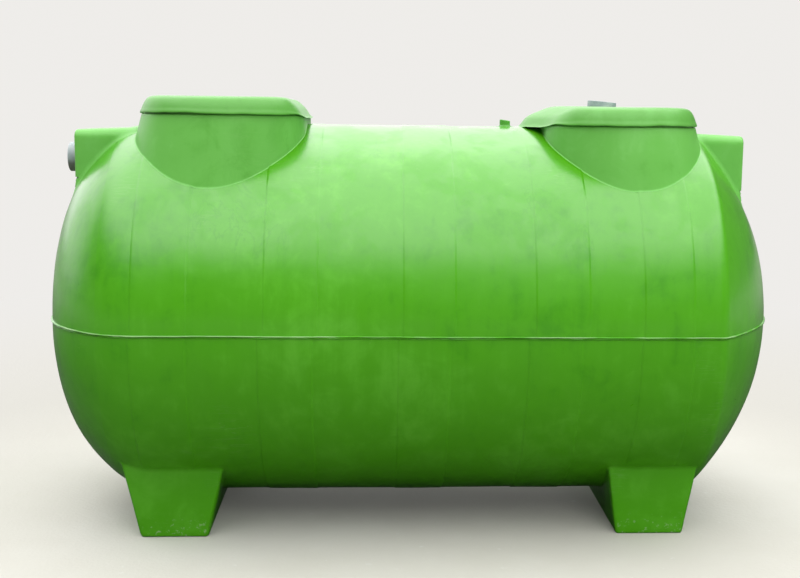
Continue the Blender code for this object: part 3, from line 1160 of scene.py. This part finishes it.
@dataclass
class Cover:
    """A lift-off cover with a rolled rim, which falls away towards the middle of the tank."""

    side: Side
    centre: float
    skin: TankSkin
    paint: Paintshop
    seat: float
    inner_reach: float
    half_width: float
    rise: float
    half_length: float = 0.483
    nose: float = 0.30
    slope: tuple[Pair, ...] = ((0.50, 1.0), (1.0, 0.1))
    section: tuple[tuple[float, float, float], ...] = (
        (0.0, 0.0, 0.0595),
        (0.5, 0.0, 0.0590),
        (0.80, 0.0, 0.0580),
        (0.92, 0.0, 0.0565),
        (1.0, -0.042, 0.0540),
        (1.0, -0.030, 0.0470),
        (1.0, -0.022, 0.0330),
        (1.0, -0.0190, 0.0060),
        (1.0, -0.0185, -0.0090),
        (1.0, -0.0155, -0.0100),
        (1.0, -0.0150, -0.0010),
        (1.0, -0.0120, 0.0004),
        (1.0, -0.0080, -0.0008),
        (1.0, -0.0020, -0.0016),
        (1.0, 0.0020, -0.0008),
        (1.0, 0.0035, 0.0020),
        (1.0, 0.0020, 0.0080),
        (1.0, -0.0020, 0.0170),
        (1.0, -0.0060, 0.0280),
        (1.0, -0.0110, 0.0390),
        (1.0, -0.0170, 0.0490),
        (1.0, -0.0240, 0.0570),
        (1.0, -0.0330, 0.0622),
        (1.0, -0.0450, 0.0652),
        (1.0, -0.0620, 0.0668),
        (0.90, -0.062, 0.0676),
        (0.75, -0.062, 0.0684),
        (0.55, -0.062, 0.0691),
        (0.35, -0.062, 0.0695),
        (0.15, -0.062, 0.0697),
        (0.0, 0.0, 0.0698),
    )

    def fallen(self, points: Array) -> Array:
        """Lets the cover's inner end fall away, and makes its rim and crown a little uneven."""
        x, y, z = np.moveaxis(points, -1, 0)
        inward = (self.centre - x) * self.side.value / self.half_width
        above = z - self.seat
        shares = np.array([share for share, _ in self.slope])
        kept = np.interp(inward, shares, [keep for _, keep in self.slope])
        near = [np.interp(inward + shift, shares, [keep for _, keep in self.slope]) for shift in (-0.03, 0.03)]
        kept = (kept + near[0] + near[1]) / 3.0
        over = smooth_step((inward - 0.90) / 0.12)
        turn = np.arctan2(y, x - self.centre)
        rim = 0.0016 * np.sin(5.0 * turn + 1.3 * self.side.value) + 0.0009 * np.sin(13.0 * turn)
        rim = rim + 0.0005 * np.sin(31.0 * turn)
        crown = 0.0022 * np.sin(9.0 * x + 2.0) * np.sin(6.0 * y + 1.0)
        height = np.clip(above / 0.07, 0.0, 1.0)
        fallen = np.maximum(above, 0.0) * kept * self.rise + np.minimum(above, 0.0)
        lowered = fallen + rim * (1.0 - height) + crown * height * kept - 0.0125 * over
        drawn = smooth_step((inward - 0.35) / 0.65) * smooth_step(1.4 + above / 0.006)
        drawn = drawn * (1.0 - smooth_step(np.abs(y) / self.nose))
        moved_x = x - self.side.value * (self.inner_reach - self.half_width) * drawn
        return np.stack([moved_x, y, self.seat + np.maximum(lowered, -0.014)], -1)

    def build(self, holes: list[bpy.types.Object]) -> None:
        """Makes the cover, with its vent hole if it has one."""
        outline = Outline(self.half_width, self.half_length, self.half_width - 0.010, corner_steps=30, side_steps=16)
        form = Moulding(outline, Heading.UP, (self.centre, 0.0, self.seat), 0.0, ripple=0.0012)
        stops = [Station(*stop) for stop in dense_section(self.section, 3)]
        piece = sheet(self.side.word + "_cover_lid", self.fallen(form.path(stops)))
        if holes:
            cut_away(piece, *holes)
        sharpen(piece, 50.0)
        dress(piece, self.paint.cover, GREEN_SLOT, self.side.word + "_cover")


def dense_section(section: tuple[tuple[float, float, float], ...], times: int) -> Array:
    """Puts more stops on a section, on smooth curves through its own."""
    stops = np.array(section)
    index = np.arange(len(stops))
    fine = np.linspace(0.0, len(stops) - 1.0, (len(stops) - 1) * times + 1)
    low = np.clip(np.floor(fine).astype(int), 0, len(stops) - 2)
    share = (fine - low)[:, None]
    slopes = np.gradient(stops, axis=0)
    first, second = stops[low], stops[low + 1]
    start, end = slopes[low], slopes[low + 1]
    square, cube = share * share, share ** 3
    curve = (2.0 * cube - 3.0 * square + 1.0) * first + (cube - 2.0 * square + share) * start
    curve = curve + (3.0 * square - 2.0 * cube) * second + (cube - square) * end
    curve[:, 0] = np.clip(np.interp(fine, index, stops[:, 0]), 0.0, 1.0)
    return curve


@dataclass
class Hood:
    """A boxy pipe housing that stands out of a domed end, with its pipe's bore through it."""

    side: Side
    end: float
    top: float
    bore_height: float
    skin: TankSkin
    paint: Paintshop
    bore_radius: float = 0.0556
    bore_start: float = 1.055
    half_width: float = 0.180
    low: float = 0.300
    corner: float = 0.030
    edge: float = 0.010
    draft: float = 0.040
    fillet: float = 0.017

    def stations(self) -> list[Station]:
        """The hood's path: out through its bore, over its end face, round its edge and back."""
        stops = [Station(0.0, -self.edge, height) for height in np.linspace(self.bore_start, self.end - 0.002, 12)]
        stops += [Station(share, -self.edge, self.end) for share in (0.006, *np.linspace(0.03, 1.0, 30))]
        for angle in np.linspace(0.0, math.pi / 2.0, 9)[1:]:
            offset = self.edge * (math.sin(angle) - 1.0)
            stops.append(Station(1.0, offset, self.end - self.edge + self.edge * math.cos(angle)))
        turn_in = self.skin.dome(self.side)[0] - 0.01
        for height in np.linspace(self.end - self.edge, turn_in, 70)[1:]:
            stops.append(Station(1.0, self.draft * (self.end - height), height))
        widest = stops[-1].offset
        for step in range(1, 31):
            stops.append(Station(1.0, widest - 0.003 * step, turn_in - 0.004 * step))
        return stops

    def build(self) -> None:
        """Makes the hood."""
        middle = (self.top + self.low) / 2.0
        half_height = (self.top - self.low) / 2.0
        outline = Outline(self.half_width, half_height, self.corner, corner_steps=10, side_steps=24)
        form = Moulding(
            outline,
            Heading.LEFT if self.side is Side.LEFT else Heading.RIGHT,
            (0.0, 0.0, middle),
            self.fillet,
            free_rows=80,
            root_rows=90,
            hole=(self.bore_height - middle, self.bore_radius),
        )
        rows = form.grow(self.skin, self.stations())
        sunk = rows[-1] - self.skin.normals(rows[-1]) * 0.006
        piece = sheet(self.side.word + "_hood_box", np.concatenate([rows, sunk[None], rows[:1]]))
        sharpen(piece, 50.0)
        # The hood takes the riser's paint, whose paler colour is partly painted sheen.
        dress(piece, self.paint.riser, GREEN_SLOT, self.side.word + "_hood")


@dataclass
class Pipes:
    """The inlet, outlet and vent pipes, cut from grey drain pipe."""

    paint: Paintshop
    radius: float = 0.055
    wall: float = 0.0042
    inner_end: float = 1.072
    ends: dict[Side, float] = field(default_factory=lambda: {Side.LEFT: 1.292, Side.RIGHT: 1.240})
    heights: dict[Side, float] = field(default_factory=lambda: {Side.LEFT: 0.565, Side.RIGHT: 0.542})
    vent_x: float = 0.729
    vent_low: float = 0.738
    vent_top: float = 0.802
    vent_tilt: float = 5.0

    def section(self, length: float, lip: float) -> list[Pair]:
        """The pipe wall's section with rounded ends, as (radius, way along)."""
        inner, outer = self.radius - self.wall, self.radius
        rounded = [(outer - lip * (1.0 - math.sin(a)), lip * (1.0 - math.cos(a))) for a in
                   (0.0, 0.39, 0.79, 1.18, 1.57)]
        far = [(radius, length - along) for radius, along in reversed(rounded)]
        return [*rounded, *far, (inner + 0.0005, length), (inner, length - 0.001), (inner, 0.001), (inner + 0.0005, 0.0)]

    def bore(self, side: Side) -> bpy.types.Object:
        """The hole of a pipe through its hood and dome, as a cutter."""
        return self.cutter(side.word + "_bore", Vector((side.value * 0.9, 0, self.heights[side])),
                           Vector((side.value * 1.5, 0, self.heights[side])))

    def cutter(self, name: str, start: Vector, end: Vector) -> bpy.types.Object:
        """A closed round bar just wider than a pipe."""
        bm = bmesh.new()
        turn = (end - start).to_track_quat("Z", "Y").to_matrix().to_4x4()
        middle = (start + end) / 2.0 + Vector((0.0, 0.0, AXIS_HEIGHT))
        bmesh.ops.create_cone(
            bm,
            cap_ends=True,
            segments=72,
            radius1=self.radius + 0.0006,
            radius2=self.radius + 0.0006,
            depth=(end - start).length,
            matrix=Matrix.Translation(middle) @ turn,
        )
        return finished(name, bm)

    def vent_place(self, height: float) -> Vector:
        """A place on the leaning vent's axis."""
        lean = math.tan(math.radians(self.vent_tilt))
        return Vector((self.vent_x + lean * (height - self.vent_top), 0.0, height))

    def vent_hole(self) -> bpy.types.Object:
        """The vent's hole through its cover, as a cutter."""
        return self.cutter("vent_hole", self.vent_place(0.70), self.vent_place(0.90))

    def build(self) -> None:
        """Makes the three pipes."""
        for side, name, finish in (
            (Side.LEFT, "inlet_pipe", self.paint.inlet),
            (Side.RIGHT, "outlet_pipe", self.paint.pipe),
        ):
            start = Vector((side.value * self.ends[side], 0.0, self.heights[side]))
            end = Vector((side.value * self.inner_end, 0.0, self.heights[side]))
            piece = turned_tube(name + "_stub", start, end, self.section((end - start).length, 0.003))
            sharpen(piece, 50.0)
            dress(piece, finish, GREY_SLOT, name)
        start, end = self.vent_place(self.vent_top), self.vent_place(self.vent_low)
        vent = turned_tube("vent_pipe_stub", start, end, self.section((end - start).length, 0.0015))
        sharpen(vent, 50.0)
        dress(vent, self.paint.pipe, GREY_SLOT, "vent_pipe")


@dataclass
class CrownBoss:
    """The small boss on the crown between the covers."""

    skin: TankSkin
    paint: Paintshop
    place: float = 0.353
    radius: float = 0.020
    top: float = 0.7265
    edge: float = 0.004
    tilt: float = -0.15

    def build(self) -> None:
        """Makes the boss."""
        outline = Outline(self.radius, self.radius, self.radius, corner_steps=10)
        stops = [Station(share, -self.edge, self.top) for share in (0.0, 0.4, 0.75, 1.0)]
        for angle in np.linspace(0.0, math.pi / 2.0, 6)[1:]:
            offset = self.edge * (math.sin(angle) - 1.0)
            stops.append(Station(1.0, offset, self.top - self.edge + self.edge * math.cos(angle)))
        for height in np.linspace(self.top - self.edge, 0.64, 40)[1:]:
            stops.append(Station(1.0, 0.0, height))
        form = Moulding(outline, Heading.UP, (self.place, 0.0, 0.0), 0.010, free_rows=16, root_rows=14)
        rows = closed_root(form.grow(self.skin, stops), self.skin, (self.place, 0.0, 0.67))
        tilted = smooth_step((rows[..., 2] - 0.704) / 0.014)
        rows[..., 2] += self.tilt * (rows[..., 0] - self.place) * tilted
        piece = sheet("crown_boss_stub", rows)
        sharpen(piece, 50.0)
        dress(piece, self.paint.cover, GREEN_SLOT, "crown_boss")


@dataclass
class Foot:
    """A cross foot: a tapering block that crosses under the barrel."""

    side: Side
    centre: float
    skin: TankSkin
    paint: Paintshop
    sole_half: Pair = (0.123, 0.455)
    shoulder_half: Pair = (0.172, 0.473)
    shoulder_height: float = 0.516
    corner: float = 0.014
    edge: float = 0.007
    fillet: float = 0.008

    def stations(self) -> list[Station]:
        """The foot's path: over its sole, round its edge and up its walls."""
        stops = [
            Station(share, -self.edge, AXIS_HEIGHT)
            for share in (0.0, 0.2, 0.4, 0.6, 0.75, 0.85, 0.92, 0.97, 1.0)
        ]
        for angle in np.linspace(0.0, math.pi / 2.0, 6)[1:]:
            offset = self.edge * (math.sin(angle) - 1.0)
            stops.append(Station(1.0, offset, AXIS_HEIGHT - self.edge + self.edge * math.cos(angle)))
        run = AXIS_HEIGHT - self.shoulder_height
        for height in np.linspace(AXIS_HEIGHT - self.edge, 0.36, 90)[1:]:
            share = (AXIS_HEIGHT - height) / run
            spread = tuple(
                (shoulder - sole) * share / (sole - self.corner)
                for sole, shoulder in zip(self.sole_half, self.shoulder_half)
            )
            stops.append(Station(1.0, 0.0, height, spread))
        return stops

    def build(self) -> None:
        """Makes the foot."""
        outline = Outline(*self.sole_half, self.corner, corner_steps=6, side_steps=16)
        form = Moulding(
            outline,
            Heading.DOWN,
            (self.centre, 0.0, 0.0),
            self.fillet,
            free_rows=60,
            root_rows=22,
            ripple=0.0012,
        )
        rows = closed_root(form.grow(self.skin, self.stations()), self.skin, (self.centre, 0.0, -0.66))
        piece = sheet(self.side.word + "_foot_block", rows)
        sharpen(piece, 60.0)
        dress(piece, self.paint.foot, GREEN_SLOT, self.side.word + "_foot")


# Studio


@dataclass
class Studio:
    """The pale floor and backdrop, the soft light and the photograph's camera."""

    eye: tuple[float, float, float] = (-0.1509, -4.7657, 1.5174)
    pitch: float = 8.05
    yaw: float = 4.0
    roll: float = 0.90
    focal_pixels: float = 1231.3
    picture_width: float = 800.0
    lens_middle: float = 458.0
    paper: Colour = (0.86, 0.845, 0.82)
    # Painted shade: the floor's darker colour for light bounced off it onto the tank.
    painted_bounce_shade: Colour = (0.250, 0.245, 0.230)
    # Painted reflection: the floor's dark colour near the tank as the tank mirrors it.
    painted_reflection_shade: Colour = (0.020, 0.020, 0.018)
    # Painted light: the floor's faint glow to the camera.
    painted_floor_glow: float = 0.045
    sky: float = 3.9
    shade: float = 0.15
    horizon: float = 2.0
    sky_edge: Pair = (0.42, 0.80)
    front_power: float = 125.0
    side_power: float = 40.0

    def camera(self) -> None:
        """Sets the camera where the photograph was taken from."""
        pitch, yaw, roll = (math.radians(turn) for turn in (self.pitch, self.yaw, self.roll))
        ahead = Vector((math.sin(yaw) * math.cos(pitch), math.cos(yaw) * math.cos(pitch), -math.sin(pitch)))
        level = Vector((math.cos(yaw), -math.sin(yaw), 0.0))
        above = level.cross(ahead)
        right = math.cos(roll) * level + math.sin(roll) * above
        up = math.cos(roll) * above - math.sin(roll) * level
        data = bpy.data.cameras.new("photo_camera")
        data.sensor_width = 36.0
        data.lens = self.focal_pixels / self.picture_width * data.sensor_width
        data.shift_x = 0.5 - self.lens_middle / self.picture_width
        data.clip_end = 200.0
        camera = bpy.data.objects.new("photo_camera", data)
        turn = Matrix((right, up, -ahead)).transposed().to_4x4()
        camera.matrix_world = Matrix.Translation(self.eye) @ turn
        bpy.context.scene.collection.objects.link(camera)
        bpy.context.scene.camera = camera

    def floor(self) -> None:
        """Lays the floor, which fades into the backdrop far from the tank. Its colours carry painted light: lighter
        near the tank than far off and glowing faintly to the camera, which lifts the tank's shadow on it; darker for
        bounced light, which is painted shade on the tank's underside; and dark near the tank in reflections, a
        painted reflection.
        """
        bm = bmesh.new()
        bmesh.ops.create_grid(bm, x_segments=8, y_segments=8, size=60.0)
        made = finished("studio_floor", bm)
        bench = Bench("studio_floor_paint")
        marks = bench.noise(0.9, 5.0, shift=1.0, rough=0.6)
        spots = bench.noise(22.0, 3.0, shift=5.0).between(0.66, 0.74)
        near = bench.mix(marks.between(0.35, 0.70), (0.465, 0.450, 0.405), (0.515, 0.503, 0.462))
        near = bench.mix(spots * 0.5, near, (0.56, 0.56, 0.54))
        middle = bench.node("ShaderNodeVectorMath", {"operation": "LENGTH"}, {0: bench.stretched((1.0, 1.0, 0.0))})
        reach = Wire(bench.tree, middle.outputs["Value"])
        # Painted light: the floor is painted lighter near the tank than far off, which lifts the tank's shadow on
        # it.
        colour = bench.mix(reach.between(1.0, 2.6), near, (0.350, 0.340, 0.310))
        paths = bench.node("ShaderNodeLightPath")
        seen = Wire(bench.tree, paths.outputs["Is Camera Ray"])
        mirrored = Wire(bench.tree, paths.outputs["Is Glossy Ray"])
        # Painted reflection: the floor that the tank mirrors is painted dark near the tank and paler far off.
        painted_reflection_shade = bench.mix(reach.between(3.0, 12.0), self.painted_reflection_shade, (0.190, 0.187, 0.175))
        # Painted shade: light bouncing off the floor takes a darker colour than the camera sees, which darkens the
        # tank's underside.
        unseen = bench.mix(mirrored, self.painted_bounce_shade, painted_reflection_shade)
        bench.feed("Base Color", bench.mix(seen, unseen, colour))
        # Painted light: the floor glows faintly to the camera, which lifts the tank's shadow on it.
        bench.feed("Emission Color", bench.mix(seen, (0.0, 0.0, 0.0), self.paper))
        bench.fix(Emission_Strength=self.painted_floor_glow)
        bench.fix(Roughness=0.75, Specular_IOR_Level=0.2)
        bench.bump(bench.noise(60.0, 4.0, shift=7.0), 0.002)
        self.fade(bench, reach.between(1.6, 6.0) * seen)
        made.data.materials.append(bench.material)

    def fade(self, bench: Bench, far: Wire) -> None:
        """Mixes the floor's shader into the backdrop's plain light by a mask."""
        paper = bench.node("ShaderNodeEmission", inputs={"Color": (*self.paper, 1.0), "Strength": 1.0})
        mixed = bench.node(
            "ShaderNodeMixShader",
            inputs={0: far, 1: bench.shader.outputs["BSDF"], 2: paper.outputs["Emission"]},
        )
        target = bench.tree.nodes["Material Output"]
        bench.tree.links.new(mixed.outputs[0], target.inputs["Surface"])

    def light(self) -> None:
        """Lights the tank in a room that is pale to the eye, bright overhead and behind."""
        world = bpy.data.worlds.new("pale_room")
        world.use_nodes = True
        tree = world.node_tree
        seen = tree.nodes["Background"]
        seen.inputs["Color"].default_value = (*self.paper, 1.0)
        room = tree.nodes.new("ShaderNodeBackground")
        way = tree.nodes.new("ShaderNodeTexCoord").outputs["Generated"]
        parts = tree.nodes.new("ShaderNodeSeparateXYZ")
        tree.links.new(way, parts.inputs[0])
        rise = Wire(tree, parts.outputs["Z"])
        behind = (Wire(tree, parts.outputs["Y"]) - Wire(tree, parts.outputs["X"]) * 0.5).between(0.60, 0.85)
        overhead = rise.between(*self.sky_edge)
        glow = behind * rise.between(-0.05, 0.15) * (1.0 - overhead) * self.horizon
        strength = overhead * (self.sky - self.shade) + glow + self.shade
        tree.links.new(strength.socket, room.inputs["Strength"])
        paths = tree.nodes.new("ShaderNodeLightPath")
        mixed = tree.nodes.new("ShaderNodeMixShader")
        tree.links.new(paths.outputs["Is Camera Ray"], mixed.inputs[0])
        tree.links.new(room.outputs[0], mixed.inputs[1])
        tree.links.new(seen.outputs[0], mixed.inputs[2])
        tree.links.new(mixed.outputs[0], tree.nodes["World Output"].inputs["Surface"])
        bpy.context.scene.world = world
        self.lamp("front_light", (1.5, -6.0, 3.4), (0.2, 0.0, 0.7), 3.0, self.front_power)
        self.lamp("side_light", (5.5, -2.2, 2.6), (1.1, 0.0, 0.9), 2.5, self.side_power)

    def lamp(self, name: str, place: tuple, target: tuple, size: float, power: float) -> None:
        """Adds a square area light that faces a target."""
        data = bpy.data.lights.new(name, "AREA")
        data.shape = "SQUARE"
        data.size = size
        data.energy = power
        made = bpy.data.objects.new(name, data)
        made.location = place
        way = Vector(target) - Vector(place)
        made.rotation_mode = "QUATERNION"
        made.rotation_quaternion = way.to_track_quat("-Z", "Y")
        made.visible_glossy = False
        bpy.context.scene.collection.objects.link(made)

    def build(self) -> None:
        """Sets the whole studio up."""
        bpy.context.scene.view_settings.view_transform = "Standard"
        self.camera()
        self.floor()
        self.light()


def main() -> None:
    """Builds the tank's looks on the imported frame, piece by piece."""
    logging.basicConfig(level=logging.INFO, format="%(message)s")
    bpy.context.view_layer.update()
    skin = TankSkin()
    paint = Paintshop()
    pipes = Pipes(paint)
    risers = [
        Riser(Side.LEFT, -0.6925, skin, paint, 0.732, 0.2925),
        Riser(Side.RIGHT, 0.7575, skin, paint, 0.711, 0.2795),
    ]
    shafts = [riser.shaft() for riser in risers]
    bores = {side: pipes.bore(side) for side in Side}
    vent = pipes.vent_hole()
    shells = Shells(skin, paint)
    shells.build(shafts, bores)
    Bands(skin, paint).build(shafts)
    SeamLips(skin, shells, paint).build()
    for riser in risers:
        riser.build()
    left_slope = ((0.66, 1.0), (0.787, 0.96), (0.90, 0.55), (1.0, 0.05))
    right_slope = ((0.62, 1.0), (0.68, 0.97), (0.89, 0.47), (1.0, 0.03))
    Cover(Side.LEFT, -0.6915, skin, paint, 0.7355, 0.299, 0.296, 0.90, slope=left_slope).build([])
    Cover(Side.RIGHT, 0.7560, skin, paint, 0.7145, 0.351, 0.282, 0.97, slope=right_slope).build([vent])
    Hood(Side.LEFT, 1.237, 0.670, pipes.heights[Side.LEFT], skin, paint).build()
    Hood(Side.RIGHT, 1.242, 0.679, pipes.heights[Side.RIGHT], skin, paint).build()
    pipes.build()
    CrownBoss(skin, paint).build()
    Foot(Side.LEFT, -0.855, skin, paint, (0.1205, 0.455), (0.178, 0.473)).build()
    Foot(Side.RIGHT, 0.871, skin, paint, (0.125, 0.455), (0.166, 0.473)).build()
    discard(*shafts, *bores.values(), vent)
    Studio().build()


if __name__ == "__main__":
    main()
